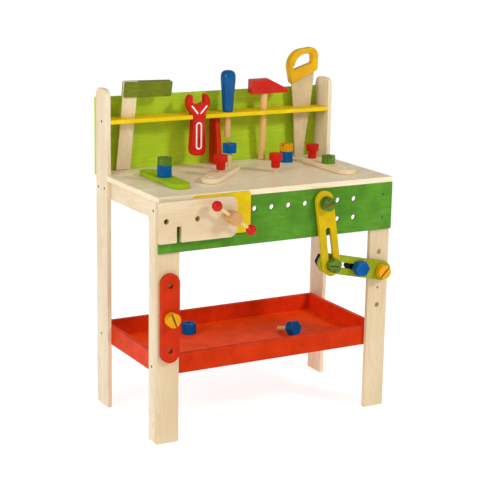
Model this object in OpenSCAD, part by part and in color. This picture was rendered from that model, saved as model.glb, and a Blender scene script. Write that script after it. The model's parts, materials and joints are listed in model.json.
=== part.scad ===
// Toy workbench: a wooden bench with a tool rail, a tray, a vise, five tools,
// perforated building strips and wooden bolts, pegs and nuts.
// Origin: on the floor, below the middle of the bench. X right, Y back, Z up.

/* [Frame] */
// Overall width of the bench
bench_w = 560; // [552:1:600]
// Depth from the front face of the legs to the back of the uprights
bench_d = 305; // [302:1:312]
// Height of the worktop surface
top_z = 521; // [515:1:525]
// Thickness of the worktop board
top_t = 12; // [10:1:15]
// Thickness of the leg, upright and rail boards
board_t = 10; // [9:0.5:10.5]
// Height of the rear uprights
upright_h = 704; // [670:1:780]
// Width of the rear uprights
upright_w = 57; // [55:1:60]
// Radius of the rounded upright tops
upright_r = 18; // [5:1:25]
// Width of the front face of a front leg
leg_face_w = 50; // [40:1:60]
// Depth of a front leg, front board and side board together
leg_depth = 40; // [32:1:60]
// Height of the side rails and the rear rail under the worktop
side_rail_h = 41; // [30:1:60]

/* [Apron] */
// Height of the front apron
apron_h = 103; // [98:1:120]
// Thickness of the front apron
apron_t = 6; // [5:1:10]
// Distance between the peg holes
hole_gap = 40.5; // [38:0.5:43]
// Radius of the peg holes
hole_r = 5.5; // [5.3:0.1:7]
// First peg hole of the apron, from the left end
apron_hole_x = 219; // [210:1:230]

/* [Back panel and tool rail] */
// Thickness of the back panel
panel_t = 9; // [4:1:12]
// Height of the back panel
panel_h = 168; // [120:1:180]
// Height of the lower edge of the back panel
panel_z = 513; // [510:1:520]
// Thickness of the tool rail
rail_t = 9; // [6:1:12]
// Height of the underside of the tool rail
rail_z = 629.5; // [600:0.5:650]

/* [Tray] */
// Height of the underside of the tray
tray_z = 144; // [80:1:190]
// Height of the tray walls
tray_h = 42; // [30:1:60]
// Thickness of the tray floor
tray_floor_t = 6; // [4:1:9]
// Distance of the tray back from the front face of the legs
tray_back_y = 300; // [280:1:304]

/* [Strips] */
// Length of a building strip
strip_l = 188; // [180:1:192]
// Width of a building strip
strip_w = 42; // [36:1:46]
// Thickness of a building strip
strip_t = 10; // [8:1:12]
// Distance from the middle hole of a strip to an end hole
strip_gap = 68.5; // [66:0.5:70]
// Width of the slot in a slotted strip
slot_w = 12.6; // [12:0.1:14]

/* [Bolts and nuts] */
// Diameter of the round bolt heads
head_d = 30; // [26:1:32]
// Height of the round bolt heads
head_h = 17; // [14:1:20]
// Height of the hexagonal bolt heads
hex_head_h = 20; // [16:1:24]
// Radius of the wooden shanks
shank_r = 5; // [4:0.1:5.2]
// Length of the wooden shanks
shank_l = 40; // [36:1:44]
// Width across the flats of nuts and hexagonal heads
nut_af = 30; // [26:1:31]
// Height of a nut
nut_h = 24; // [16:1:26]

/* [Vise] */
// Height of the vise jaws
jaw_h = 85; // [76:1:90]
// Length of the moving jaw
jaw_w = 175; // [165:1:185]
// Thickness of the moving jaw
jaw_t = 12; // [9:1:15]
// Radius of the rounded jaw corners
jaw_r = 17; // [8:1:20]
// Diameter of the screw knob
knob_d = 30; // [24:1:34]
// Distance between the balls of the vise handle
bar_l = 96; // [84:1:110]
// Diameter of the handle balls
ball_d = 22; // [16:1:26]

/* [Hidden] */
$fn = 64;
gap = 0.3;                 // clearance between pieces that move past each other
bore_gap = 0.1;            // radial clearance of a shaft in its bore
back_y = bench_d - upright_w;
middle_y = 127;            // half way between the vise knob and the back panel
under_top = top_z - top_t;
apron_z = under_top - apron_h;
inner_w = bench_w - 2 * board_t;
rail_top = rail_z + rail_t;
top_holes = [[85, 143], [219, 145], [352, 141], [486, 138], [486, 206.5], [437, 240]];
apron_row_z = top_z - 41;
apron_hole_count = 7;

// Screws
screw_head_r = 3.2;
screw_r = 1.6;
screw_l = 18;

// Vise
fixed_jaw_t = 6;
fixed_jaw_x = 75;
fixed_jaw_w = 131;
jaw_top = top_z - 6;
jaw_x = -6;
jaw_back_y = -apron_t - fixed_jaw_t - gap;
jaw_front_y = jaw_back_y - jaw_t;
jaw_hole_x = 9;
vise_x = jaw_hole_x + 2 * 69.25;
vise_z = jaw_top - 39.5;
knob_l = 36;
knob_bar_y = jaw_front_y - 24;
vise_screw_end = 52;
guide_x = 100;
guide_z = [jaw_top - 18, jaw_top - jaw_h + 18];
guide_r = 4;
guide_end = 44;
bar_r = 3.5;
bar_tilt = 35.3;
bar_seat = 8;              // how deep the bar sits in each ball

// Tools
square_at = [43, 297, top_z + 1.5];
square_tilt = [9.65, 1.2, 0];
square_blade = [33, 5, 164];
square_stock = [113, 14, 34];
hammer_at = [401, 288, top_z + 1.4];
hammer_tilt = [5.4, -2, 0];
hammer_turn = -6;
hammer_r = 8;
hammer_l = 166;
hammer_head_z = 154;
hammer_head_h = 31;
hammer_head_t = 24;
driver_at = [301.7, 270];
driver_shaft_r = 7;
driver_handle_r = 17;
driver_foot_r = 12;
driver_h = 92;
driver_shaft_l = 58;
saw_y = 285;
saw_blade_t = 4;
saw_handle_t = 18;
wrench_x = 221.5;
wrench_y = 252;
wrench_t = 18;
wrench_z = 548;
notch_w = 33;
notch_d = 28;

// Linkage: two slotted strips that meet in one bolt
link_l = 2 * strip_gap;
pivot_a = [apron_hole_x + 4 * hole_gap, apron_row_z];
pivot_b = [bench_w - 24.5, 314.5];
span = norm(pivot_b - pivot_a);
span_dir = (pivot_b - pivot_a) / span;
span_rise = sqrt(link_l * link_l - span * span / 4);
link_at = (pivot_a + pivot_b) / 2 + span_rise * [span_dir[1], -span_dir[0]];
front_strip_y = -2 * (strip_t + gap);
rear_strip_y = -strip_t - gap;
slot_from = strip_gap - 8;
slot_to = link_l;
slot_bolt_at = 61;
leg_strip_at = [26, 270];

// ---- shared shapes ----

// Places are counted from the outer front corner of the left leg at floor level.
// This moves a finished shape so that the origin is below the middle of the bench.
module centred() { translate([-bench_w / 2, -middle_y, 0]) children(); }

module mirror_x(right) {
    if (right) translate([bench_w, 0, 0]) mirror([1, 0, 0]) children();
    else children();
}

// turns a shape that is drawn in X and Y and stands along Z so that it faces the front
module face_front(y) {
    translate([0, y, 0]) rotate([90, 0, 0]) children();
}

// through hole along Y at a place [x, z]
module hole_y(at, r, y0, y1) {
    translate([at[0], y0, at[1]]) rotate([-90, 0, 0]) cylinder(h = y1 - y0, r = r);
}

module round_plate(w, h, r, t) {
    linear_extrude(t) union() {
        translate([r, 0]) square([w - 2 * r, h]);
        translate([0, r]) square([w, h - 2 * r]);
        for (x = [r, w - r], y = [r, h - r]) translate([x, y]) circle(r);
    }
}

// strip lying along +X with its middle hole at the origin, its underside at z = 0
module strip(slotted = false) {
    straight = strip_l - strip_w;
    difference() {
        linear_extrude(strip_t) union() {
            translate([-straight / 2, -strip_w / 2]) square([straight, strip_w]);
            for (x = [-1, 1] * straight / 2) translate([x, 0]) circle(strip_w / 2);
        }
        if (slotted) {
            translate([-strip_gap, 0, -1]) cylinder(h = strip_t + 2, r = hole_r);
            for (x = [slot_from, slot_to]) {
                translate([x - strip_gap, 0, -1]) cylinder(h = strip_t + 2, r = slot_w / 2);
            }
            translate([slot_from - strip_gap, -slot_w / 2, -1])
                cube([slot_to - slot_from, slot_w, strip_t + 2]);
        }
        else {
            for (x = [-1, 0, 1] * strip_gap) {
                translate([x, 0, -1]) cylinder(h = strip_t + 2, r = hole_r);
            }
        }
    }
}

// head with a screwdriver slot above z = 0, shank below
module slotted_bolt(turn = 0) {
    slot_t = 3;
    slot_depth = 4;
    chamfer = 1.5;
    difference() {
        rotate_extrude() polygon([[0, 0], [head_d / 2, 0], [head_d / 2, head_h - chamfer],
            [head_d / 2 - chamfer, head_h], [0, head_h]]);
        rotate(turn) translate([-head_d, -slot_t / 2, head_h - slot_depth])
            cube([2 * head_d, slot_t, slot_depth + 1]);
    }
    translate([0, 0, -shank_l]) cylinder(h = shank_l + 1, r = shank_r);
}

module hex_prism(h) {
    cylinder(h = h, r = nut_af / 2 / cos(30), $fn = 6);
}

module hex_bolt() {
    hex_prism(hex_head_h);
    translate([0, 0, -shank_l]) cylinder(h = shank_l + 1, r = shank_r);
}

module nut() {
    difference() {
        hex_prism(nut_h);
        translate([0, 0, -1]) cylinder(h = nut_h + 2, r = shank_r + gap);
    }
}

// stepped peg, its small collar stands on z = 0 and its shank goes below
module peg(below) {
    collar_r = 9.8;
    collar_h = 16.5;
    peg_head_r = 14.5;
    peg_head_h = 15;
    chamfer = 1.5;
    rotate_extrude() polygon([[0, -below], [shank_r, -below], [shank_r, 0], [collar_r, 0],
        [collar_r, collar_h], [peg_head_r, collar_h],
        [peg_head_r, collar_h + peg_head_h - chamfer],
        [peg_head_r - chamfer, collar_h + peg_head_h], [0, collar_h + peg_head_h]]);
}

module screw() {
    translate([0, 0, -screw_l]) cylinder(h = screw_l, r = screw_r);
    translate([0, 0, -1.6]) cylinder(h = 1.6, r1 = screw_r, r2 = screw_head_r);
}

// screws in the two sides, as places [y, z], and in the apron, as places [x, z]
side_screws = [[274.3, rail_z + rail_t / 2], [293, under_top - 19], [261.5, under_top - 18],
    [281.5, tray_z + 19], [19.5, under_top - 19], [25.5, tray_z + 18.5]];
apron_screws = [[24, under_top - 76], [bench_w - 24, under_top - 25],
    [bench_w - 24, under_top - 76]];

module place_screws() {
    for (s = side_screws, right = [false, true]) {
        mirror_x(right) translate([0, s[0], s[1]]) rotate([0, -90, 0]) children();
    }
    for (s = apron_screws) translate([s[0], -apron_t, s[1]]) rotate([90, 0, 0]) children();
}

// what is cut from the boards that the screws pass through
module screw_seats() {
    place_screws() screw();
}

// ---- frame ----

module rear_upright(right) {
    difference() {
        mirror_x(right) union() {
            translate([0, back_y, 0]) cube([board_t, upright_w, upright_h - upright_r]);
            translate([0, back_y + upright_r, 0])
                cube([board_t, upright_w - 2 * upright_r, upright_h]);
            for (y = [back_y + upright_r, bench_d - upright_r]) {
                translate([0, y, upright_h - upright_r]) rotate([0, 90, 0])
                    cylinder(h = board_t, r = upright_r);
            }
        }
        screw_seats();
    }
}

module rear_upright_left() { color("wheat") centred() rear_upright(false); }

module rear_upright_right() { color("wheat") centred() rear_upright(true); }

module front_leg_left() {
    color("wheat") centred() difference() {
        cube([leg_face_w, board_t, under_top]);
        hole_y(leg_strip_at, hole_r, -1, board_t + 1);
        screw_seats();
    }
}

module front_leg_left_side() {
    color("wheat") centred() difference() {
        translate([0, board_t, 0]) cube([board_t, leg_depth - board_t, under_top]);
        screw_seats();
    }
}

leg_hole_z = [pivot_b[1] - 2 * hole_gap + 1, pivot_b[1], pivot_b[1] + hole_gap - 0.5];
pilot_r = 2.5;

module front_leg_right() {
    color("wheat") centred() difference() {
        translate([bench_w - leg_face_w, 0, 0]) cube([leg_face_w, board_t, under_top]);
        for (z = leg_hole_z) hole_y([pivot_b[0], z], hole_r, -1, board_t + 1);
        hole_y([pivot_b[0], pivot_b[1] - hole_gap], pilot_r, -1, board_t + 1);
        screw_seats();
    }
}

module front_leg_right_side() {
    color("wheat") centred() difference() {
        translate([bench_w - board_t, board_t, 0])
            cube([board_t, leg_depth - board_t, under_top]);
        screw_seats();
    }
}

module side_rail(right) {
    difference() {
        mirror_x(right) translate([board_t, board_t, under_top - side_rail_h])
            cube([board_t, bench_d - board_t, side_rail_h]);
        screw_seats();
    }
}

module side_rail_left() { color("burlywood") centred() side_rail(false); }

module side_rail_right() { color("burlywood") centred() side_rail(true); }

module rear_rail() {
    color("burlywood") centred() translate([2 * board_t, bench_d - board_t, under_top - side_rail_h])
        cube([bench_w - 4 * board_t, board_t, side_rail_h]);
}

module worktop() {
    color("antiquewhite") centred() difference() {
        union() {
            translate([0, -apron_t, under_top]) cube([bench_w, back_y + apron_t, top_t]);
            translate([board_t, back_y - 1, under_top]) cube([inner_w, upright_w + 1, top_t]);
        }
        for (p = top_holes) translate([p[0], p[1], under_top - 1])
            cylinder(h = top_t + 2, r = hole_r);
    }
}

module front_apron() {
    color("forestgreen") centred() difference() {
        translate([0, -apron_t, apron_z]) cube([bench_w, apron_t, apron_h]);
        for (i = [0 : apron_hole_count - 1]) {
            hole_y([apron_hole_x + i * hole_gap, apron_row_z], hole_r, -apron_t - 1, 1);
        }
        for (i = [5, 6]) {
            hole_y([apron_hole_x + i * hole_gap, apron_row_z - hole_gap], hole_r,
                -apron_t - 1, 1);
        }
        vise_holes(-apron_t - 1, 1);
        screw_seats();
    }
}

module back_panel() {
    color("yellowgreen") centred() translate([0, bench_d, panel_z]) cube([bench_w, panel_t, panel_h]);
}

module tool_rail() {
    slack = 1.2;
    color("gold") centred() difference() {
        translate([board_t, back_y, rail_z]) cube([inner_w, upright_w, rail_t]);
        translate([wrench_x - notch_w / 2, back_y - 1, rail_z - 1])
            cube([notch_w, notch_d + 1, rail_t + 2]);
        square_place() translate([-slack, -square_blade[1] / 2 - slack, 0])
            cube([square_blade[0] + 2 * slack, square_blade[1] + 2 * slack, square_blade[2]]);
        hammer_place() cylinder(h = hammer_head_z - 5, r = hammer_r + slack);
        translate([driver_at[0], driver_at[1], rail_z - 1])
            cylinder(h = rail_t + 2, r = driver_shaft_r + slack);
        translate([476, saw_y - saw_blade_t / 2 - slack, rail_z - 1])
            cube([51, saw_blade_t + 2 * slack, rail_t + 2]);
        screw_seats();
    }
}

module rail_support() {
    top_depth = 29;
    foot_depth = 45;
    color("firebrick") centred() translate([(bench_w + board_t) / 2 + 1, 0, 0]) rotate([90, 0, -90])
        linear_extrude(board_t + 2) polygon([[-bench_d, top_z], [-bench_d + foot_depth, top_z],
            [-bench_d + top_depth, rail_z], [-bench_d, rail_z]]);
}

// ---- tray ----

module tray_floor() {
    color("orangered") centred() translate([2 * board_t, 2 * board_t, tray_z])
        cube([bench_w - 4 * board_t, tray_back_y - 3 * board_t, tray_floor_t]);
}

module tray_front() {
    color("orangered") centred() translate([2 * board_t, board_t, tray_z])
        cube([bench_w - 4 * board_t, board_t, tray_h]);
}

module tray_back() {
    color("orangered") centred() translate([2 * board_t, tray_back_y - board_t, tray_z])
        cube([bench_w - 4 * board_t, board_t, tray_h]);
}

module tray_side(right) {
    difference() {
        mirror_x(right) translate([board_t, board_t, tray_z])
            cube([board_t, tray_back_y - board_t, tray_h]);
        screw_seats();
    }
}

module tray_left() { color("orangered") centred() tray_side(false); }

module tray_right() { color("orangered") centred() tray_side(true); }

module frame_screws() { color("dimgray") centred() place_screws() screw(); }

// nuts behind the apron and the left leg, on the vise screw and two pivot bolts
module back_nuts() {
    color("royalblue") centred() {
        for (at = [pivot_a, [vise_x, vise_z]]) {
            translate([at[0], gap + nut_h, at[1]]) rotate([90, 30, 0]) nut();
        }
        translate([leg_strip_at[0], board_t + gap + nut_h, leg_strip_at[1]])
            rotate([90, 30, 0]) nut();
    }
}

// ---- vise ----

module vise_holes(y0, y1) {
    hole_y([vise_x, vise_z], shank_r + gap, y0, y1);
    for (z = guide_z) hole_y([guide_x, z], guide_r + gap, y0, y1);
}

module vise_fixed_jaw() {
    color("gold") centred() difference() {
        translate([fixed_jaw_x, 0, jaw_top - jaw_h + 4]) face_front(-apron_t)
            round_plate(fixed_jaw_w, jaw_h, 6, fixed_jaw_t);
        vise_holes(-apron_t - fixed_jaw_t - 1, 0);
    }
}

module vise_front_jaw() {
    slot_x = 37;
    slot_h = 33;
    jaw_slot_w = 10;
    seat_r = 8;
    color("wheat") centred() difference() {
        translate([jaw_x, 0, jaw_top - jaw_h]) face_front(jaw_back_y) union() {
            translate([jaw_w - 3 * jaw_r, 0, 0]) round_plate(3 * jaw_r, jaw_h, jaw_r, jaw_t);
            cube([jaw_w - 1.5 * jaw_r, jaw_h, jaw_t]);
        }
        for (x = [jaw_hole_x, jaw_hole_x + 69.25]) {
            hole_y([x, vise_z], hole_r, jaw_front_y - 1, jaw_back_y + 1);
        }
        translate([slot_x - jaw_slot_w / 2, jaw_front_y - 1, jaw_top - jaw_h - 1])
            cube([jaw_slot_w, jaw_t + 2, slot_h + 1]);
        hole_y([vise_x, vise_z], shank_r + bore_gap, jaw_front_y - 1, jaw_back_y + 1);
        for (z = guide_z) hole_y([guide_x, z], guide_r, jaw_front_y + 4, jaw_back_y + 1);
    }
}

module vise_guide_pins() {
    color("tan") centred() for (z = guide_z) hole_y([guide_x, z], guide_r, jaw_front_y + 4, guide_end);
}

// direction of the handle bar: along +X, turned down to the right
module bar_place() {
    translate([vise_x, knob_bar_y, vise_z]) rotate([0, bar_tilt, 0]) children();
}

module vise_spindle() {
    neck_r = 9;
    color("burlywood") centred() difference() {
        translate([vise_x, jaw_front_y - gap, vise_z]) rotate([90, 0, 0]) union() {
            rotate_extrude() polygon([[0, 0], [neck_r, 0], [knob_d / 2, 10],
                [knob_d / 2, knob_l - 3], [knob_d / 2 - 3, knob_l], [0, knob_l]]);
            translate([0, 0, jaw_front_y - gap - vise_screw_end])
                cylinder(h = vise_screw_end - jaw_front_y + 1, r = shank_r);
        }
        bar_place() rotate([0, 90, 0]) translate([0, 0, -knob_d])
            cylinder(h = 2 * knob_d, r = bar_r + 0.05);
    }
}

module vise_bar() {
    half = bar_l / 2 - ball_d / 2 + bar_seat;
    color("wheat") centred() bar_place() rotate([0, 90, 0]) translate([0, 0, -half])
        cylinder(h = 2 * half, r = bar_r);
}

module vise_bar_balls() {
    inner = bar_l / 2 - ball_d / 2 - 1;
    color("red") centred() bar_place() for (side = [-1, 1]) rotate([0, 90 * side, 0]) difference() {
        translate([0, 0, bar_l / 2]) sphere(d = ball_d);
        translate([0, 0, inner]) cylinder(h = bar_seat + 1, r = bar_r);
    }
}

// ---- tools ----

module square_place() { translate(square_at) rotate(square_tilt) children(); }

module try_square_blade() {
    tongue = square_stock[2];
    color("wheat") centred() square_place() translate([0, -square_blade[1] / 2, 0])
        cube([square_blade[0], square_blade[1], square_blade[2] + tongue]);
}

module try_square_stock() {
    color("olivedrab") centred() square_place() difference() {
        translate([0, square_stock[1] / 2, square_blade[2]]) rotate([90, 0, 0])
            round_plate(square_stock[0], square_stock[2], 4, square_stock[1]);
        translate([-1, -square_blade[1] / 2, square_blade[2] - 1])
            cube([square_blade[0] + 1, square_blade[1], square_stock[2] + 2]);
    }
}

// half of the wrench outline, as points [half width, height]
wrench_half = [[10.5, 0], [15.3, 4], [17.8, 11], [17.8, 20], [13.8, 76], [13.8, 87],
    [17, 94], [23.5, 103], [27.5, 113], [27.5, 122], [24, 130], [19.5, 134.5], [15.8, 134.5],
    [14.8, 131], [14.8, 117.3]];

module wrench() {
    outline = concat(wrench_half, [[0, 112]],
        [for (i = [len(wrench_half) - 1 : -1 : 0]) [-wrench_half[i][0], wrench_half[i][1]]]);
    color("crimson") centred() translate([wrench_x, wrench_y + wrench_t, wrench_z]) rotate([90, 0, 0])
        linear_extrude(wrench_t) polygon(outline);
}

module screwdriver_handle() {
    base = rail_top + gap;
    color("royalblue") centred() translate([driver_at[0], driver_at[1], base]) difference() {
        rotate_extrude() polygon([[0, 0], [driver_foot_r, 0], [driver_handle_r - 2, 55],
            [driver_handle_r, 70], [driver_handle_r, 78], [driver_handle_r - 3, 86],
            [driver_handle_r - 8, 90.5], [0, driver_h]]);
        translate([0, 0, -1]) cylinder(h = 31, r = driver_shaft_r);
    }
}

module screwdriver_shaft() {
    color("wheat") centred() translate([driver_at[0], driver_at[1], rail_top + gap - driver_shaft_l])
        cylinder(h = driver_shaft_l + 30, r = driver_shaft_r);
}

module hammer_place() { translate(hammer_at) rotate(hammer_tilt) children(); }

module hammer_head() {
    left = -35;
    right = 55.5;
    color("red") centred() hammer_place() rotate([0, 0, hammer_turn]) difference() {
        translate([0, hammer_head_t / 2, hammer_head_z]) rotate([90, 0, 0])
            linear_extrude(hammer_head_t) polygon([[left, 0], [right, 0], [right, 7],
                [12, hammer_head_h - 1], [8, hammer_head_h], [left, hammer_head_h]]);
        cylinder(h = hammer_l, r = hammer_r);
    }
}

module hammer_handle() {
    color("tan") centred() hammer_place() cylinder(h = hammer_l, r = hammer_r);
}

// points of an arc, for outlines that are drawn in one piece
function arc(centre, r, from, to) =
    [for (i = [0 : 12]) let (a = from + (to - from) * i / 12) centre + r * [cos(a), sin(a)]];

// the lower edge of the handle and of its opening rises at this angle
saw_edge_angle = 22;

module saw_handle() {
    low = saw_edge_angle - 90;
    grip = concat(arc([473, 697], 5, 190, 360 + low), arc([530, 726.5], 9, low, 5),
        arc([518, 751], 21.5, 5, 85), arc([500, 731], 38.5, 100, 190));
    opening = concat(arc([478, 727.5], 4.5, 150, 360 + low), arc([518.5, 741], 5, low, 0),
        arc([516, 750.5], 7.5, 0, 90), arc([508, 727], 31, 95, 172));
    color("orange") centred() translate([0, saw_y + saw_handle_t / 2, 0]) rotate([90, 0, 0])
        difference() {
            linear_extrude(saw_handle_t) polygon(grip);
            translate([0, 0, -1]) linear_extrude(saw_handle_t + 2) polygon(opening);
            saw_tang(bore_gap);
        }
}

// the part of the blade that sits in the handle, drawn in the plane of the handle
module saw_tang(slack) {
    translate([0, 0, saw_handle_t / 2 - saw_blade_t / 2 - slack])
        linear_extrude(saw_blade_t + 2 * slack) saw_outline();
}

// the teeth are shallow scallops along the right edge below the tool rail
module saw_outline() {
    teeth = 6;
    tooth_h = 14.5;
    edge = [for (i = [0 : teeth - 1]) for (k = [0, 1])
        [522 - 2.1 * i - (k == 0 ? 0 : 3), 616 - tooth_h * i - (k == 0 ? 0 : 2.5)]];
    polygon(concat([[487.5, top_z + gap], [511, top_z + gap]],
        [for (i = [len(edge) - 1 : -1 : 0]) edge[i]],
        [[523, 622], [524.5, 640], [531, 700], [532, 724], [476, 702], [473.8, 688],
        [479, 640]]));
}

module saw_blade() {
    color("tan") centred() translate([0, saw_y + saw_handle_t / 2, 0]) rotate([90, 0, 0]) saw_tang(0);
}

// ---- strips ----

// strip on the front of the bench: hole 0 at a place [x, z], pointing to another place
module front_strip(from, to, y) {
    angle = atan2(to[1] - from[1], to[0] - from[0]);
    translate([from[0], y + strip_t, from[1]]) rotate([90, -angle, 0])
        translate([strip_gap, 0, 0]) strip(true);
}

module strip_yellow_slotted() {
    color("gold") centred() front_strip(pivot_a, link_at, front_strip_y);
}

module strip_lime_slotted() {
    color("yellowgreen") centred() front_strip(pivot_b, link_at, rear_strip_y);
}

module strip_red_leg() {
    color("orangered") centred() translate([leg_strip_at[0], rear_strip_y + strip_t, leg_strip_at[1]])
        rotate([90, 90, 0]) strip();
}

module top_strip(at, angle) {
    translate([at[0], at[1], top_z + gap]) rotate(angle) strip();
}

middle_angle = 46;

module strip_lime_top() { color("yellowgreen") centred() top_strip(top_holes[0], 90); }

module strip_natural_middle() { color("wheat") centred() top_strip(top_holes[1], middle_angle); }

module strip_natural_right() { color("tan") centred() top_strip(top_holes[3], 90); }

// ---- bolts, pegs and nuts ----

strip_top = top_z + gap + strip_t + gap;

module front_bolt(at, y) {
    translate([at[0], y, at[1]]) rotate([90, 0, 0]) children();
}

module pivot_bolt_apron() {
    color("forestgreen") centred() front_bolt(pivot_a, front_strip_y - gap) slotted_bolt(20);
}

module pivot_bolt_leg() {
    color("gold") centred() front_bolt(pivot_b, rear_strip_y - gap) slotted_bolt(45);
}

module link_bolt() {
    color("forestgreen") centred() front_bolt(link_at, front_strip_y - gap) slotted_bolt(-8);
}

module link_nut() {
    color("midnightblue") centred() front_bolt(link_at, nut_h) nut();
}

slot_bolt_pos = pivot_b + slot_bolt_at * (link_at - pivot_b) / link_l;

module slot_bolt() {
    color("royalblue") centred() front_bolt(slot_bolt_pos, rear_strip_y - gap) hex_bolt();
}

module slot_nut() {
    color("midnightblue") centred() front_bolt(slot_bolt_pos, nut_h) nut();
}

module leg_strip_bolt() {
    color("gold") centred() front_bolt(leg_strip_at, rear_strip_y - gap) slotted_bolt(-68);
}

module on_top(at, z) { translate([at[0], at[1], z]) children(); }

module bolt_green_left() {
    color("forestgreen") centred() on_top(top_holes[0], strip_top + nut_h + gap) slotted_bolt(-20);
}

module nut_blue_left() { color("royalblue") centred() on_top(top_holes[0], strip_top) nut(); }

module peg_red_middle() { color("red") centred() on_top(top_holes[1], strip_top + 4) peg(20); }

// stands in the end hole of the middle strip, on the worktop
module bolt_blue_middle() {
    at = top_holes[1] + strip_gap * [cos(middle_angle), sin(middle_angle)];
    color("royalblue") centred() on_top(at, top_z + gap + shank_l) hex_bolt();
}

module peg_red_centre() { color("red") centred() on_top(top_holes[2], top_z + 10) peg(22); }

module bolt_yellow_centre() {
    color("gold") centred() on_top(top_holes[5], top_z + 2 * gap + nut_h) slotted_bolt(30);
}

module nut_blue_centre() { color("royalblue") centred() on_top(top_holes[5], top_z + gap) nut(); }

module peg_red_right() { color("red") centred() on_top(top_holes[4], strip_top) peg(20); }

module bolt_green_right() {
    color("forestgreen") centred() on_top(top_holes[3], strip_top) slotted_bolt(80);
}

tray_inside = tray_z + tray_floor_t;

module tray_nut() {
    color("royalblue") centred() translate([192, 235, tray_inside + gap]) rotate(20) nut();
}

// lies on one flat of its head with the end of its shank on the tray floor
module tray_bolt() {
    lean = atan((nut_af / 2 - shank_r) / shank_l);
    color("royalblue") centred()
        translate([392, 128, tray_inside + gap + nut_af / 2 * cos(lean)])
            rotate([90 - lean, 0, 12]) hex_bolt();
}

rear_upright_left();
rear_upright_right();
front_leg_left();
front_leg_left_side();
front_leg_right();
front_leg_right_side();
side_rail_left();
side_rail_right();
rear_rail();
worktop();
front_apron();
back_panel();
tool_rail();
rail_support();
tray_floor();
tray_front();
tray_back();
tray_left();
tray_right();
frame_screws();
back_nuts();
vise_fixed_jaw();
vise_front_jaw();
vise_guide_pins();
vise_spindle();
vise_bar();
vise_bar_balls();
try_square_blade();
try_square_stock();
wrench();
screwdriver_handle();
screwdriver_shaft();
hammer_head();
hammer_handle();
saw_handle();
saw_blade();
strip_yellow_slotted();
strip_lime_slotted();
strip_red_leg();
strip_lime_top();
strip_natural_middle();
strip_natural_right();
pivot_bolt_apron();
pivot_bolt_leg();
link_bolt();
link_nut();
slot_bolt();
slot_nut();
leg_strip_bolt();
bolt_green_left();
nut_blue_left();
peg_red_middle();
bolt_blue_middle();
peg_red_centre();
bolt_yellow_centre();
nut_blue_centre();
peg_red_right();
bolt_green_right();
tray_nut();
tray_bolt();
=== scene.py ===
import json
import math

import bpy
from mathutils import Matrix, Vector


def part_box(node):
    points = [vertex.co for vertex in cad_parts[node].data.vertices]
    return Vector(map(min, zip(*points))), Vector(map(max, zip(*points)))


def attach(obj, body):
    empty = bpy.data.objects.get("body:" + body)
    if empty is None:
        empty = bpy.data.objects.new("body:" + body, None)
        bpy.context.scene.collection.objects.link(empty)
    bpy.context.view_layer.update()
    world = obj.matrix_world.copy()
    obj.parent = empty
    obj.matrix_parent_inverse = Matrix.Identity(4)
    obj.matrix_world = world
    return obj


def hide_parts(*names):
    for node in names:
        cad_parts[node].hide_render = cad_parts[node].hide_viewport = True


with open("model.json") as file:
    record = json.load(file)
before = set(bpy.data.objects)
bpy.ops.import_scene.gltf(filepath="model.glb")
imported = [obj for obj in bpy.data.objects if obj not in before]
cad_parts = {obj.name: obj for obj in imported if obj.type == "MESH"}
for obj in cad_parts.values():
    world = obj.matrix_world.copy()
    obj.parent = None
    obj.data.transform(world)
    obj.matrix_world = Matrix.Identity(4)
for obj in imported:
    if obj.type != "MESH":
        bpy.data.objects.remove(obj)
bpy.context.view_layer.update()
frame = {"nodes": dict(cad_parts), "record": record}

record = frame["record"]
bodyOf = {node: body for body, nodes in record["behaviour"]["bodies"].items() for node in nodes}
slotOf = {part["node"]: part["material_slot"] for part in record["subparts"]}


def srgb(*screen):
    # a colour as seen on a screen, 0 to 255, as the linear colour that a shader takes
    linear = [c / 255 / 12.92 if c <= 10 else ((c / 255 + 0.055) / 1.055) ** 2.4 for c in screen]
    return (*linear, 1.0)


def newGroup(name, inputs, outputs):
    group = bpy.data.node_groups.new(name, "ShaderNodeTree")
    for label, kind, value in inputs:
        socket = group.interface.new_socket(label, in_out="INPUT", socket_type=kind)
        if value is not None:
            socket.default_value = value
    for label, kind in outputs:
        group.interface.new_socket(label, in_out="OUTPUT", socket_type=kind)
    start = group.nodes.new("NodeGroupInput")
    end = group.nodes.new("NodeGroupOutput")
    return group, start, end


def fill(tree, node, values):
    # each value is a number, a colour or another node's socket
    for key, value in values.items():
        if isinstance(value, bpy.types.NodeSocket):
            tree.links.new(value, node.inputs[key])
        else:
            node.inputs[key].default_value = value
    return node


def addNode(tree, kind, values=None, **settings):
    # values go on the node's sockets, by name or number; settings on the node itself
    node = tree.nodes.new("ShaderNode" + kind)
    for key, value in settings.items():
        setattr(node, key, value)
    return fill(tree, node, values or {})


def addMath(tree, operation, first, second=None):
    values = {0: first} if second is None else {0: first, 1: second}
    return addNode(tree, "Math", values, operation=operation).outputs[0]


def addRange(tree, value, fromLow, fromHigh, toLow, toHigh):
    return addNode(tree, "MapRange", {0: value, 1: fromLow, 2: fromHigh, 3: toLow, 4: toHigh}).outputs[0]


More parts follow.
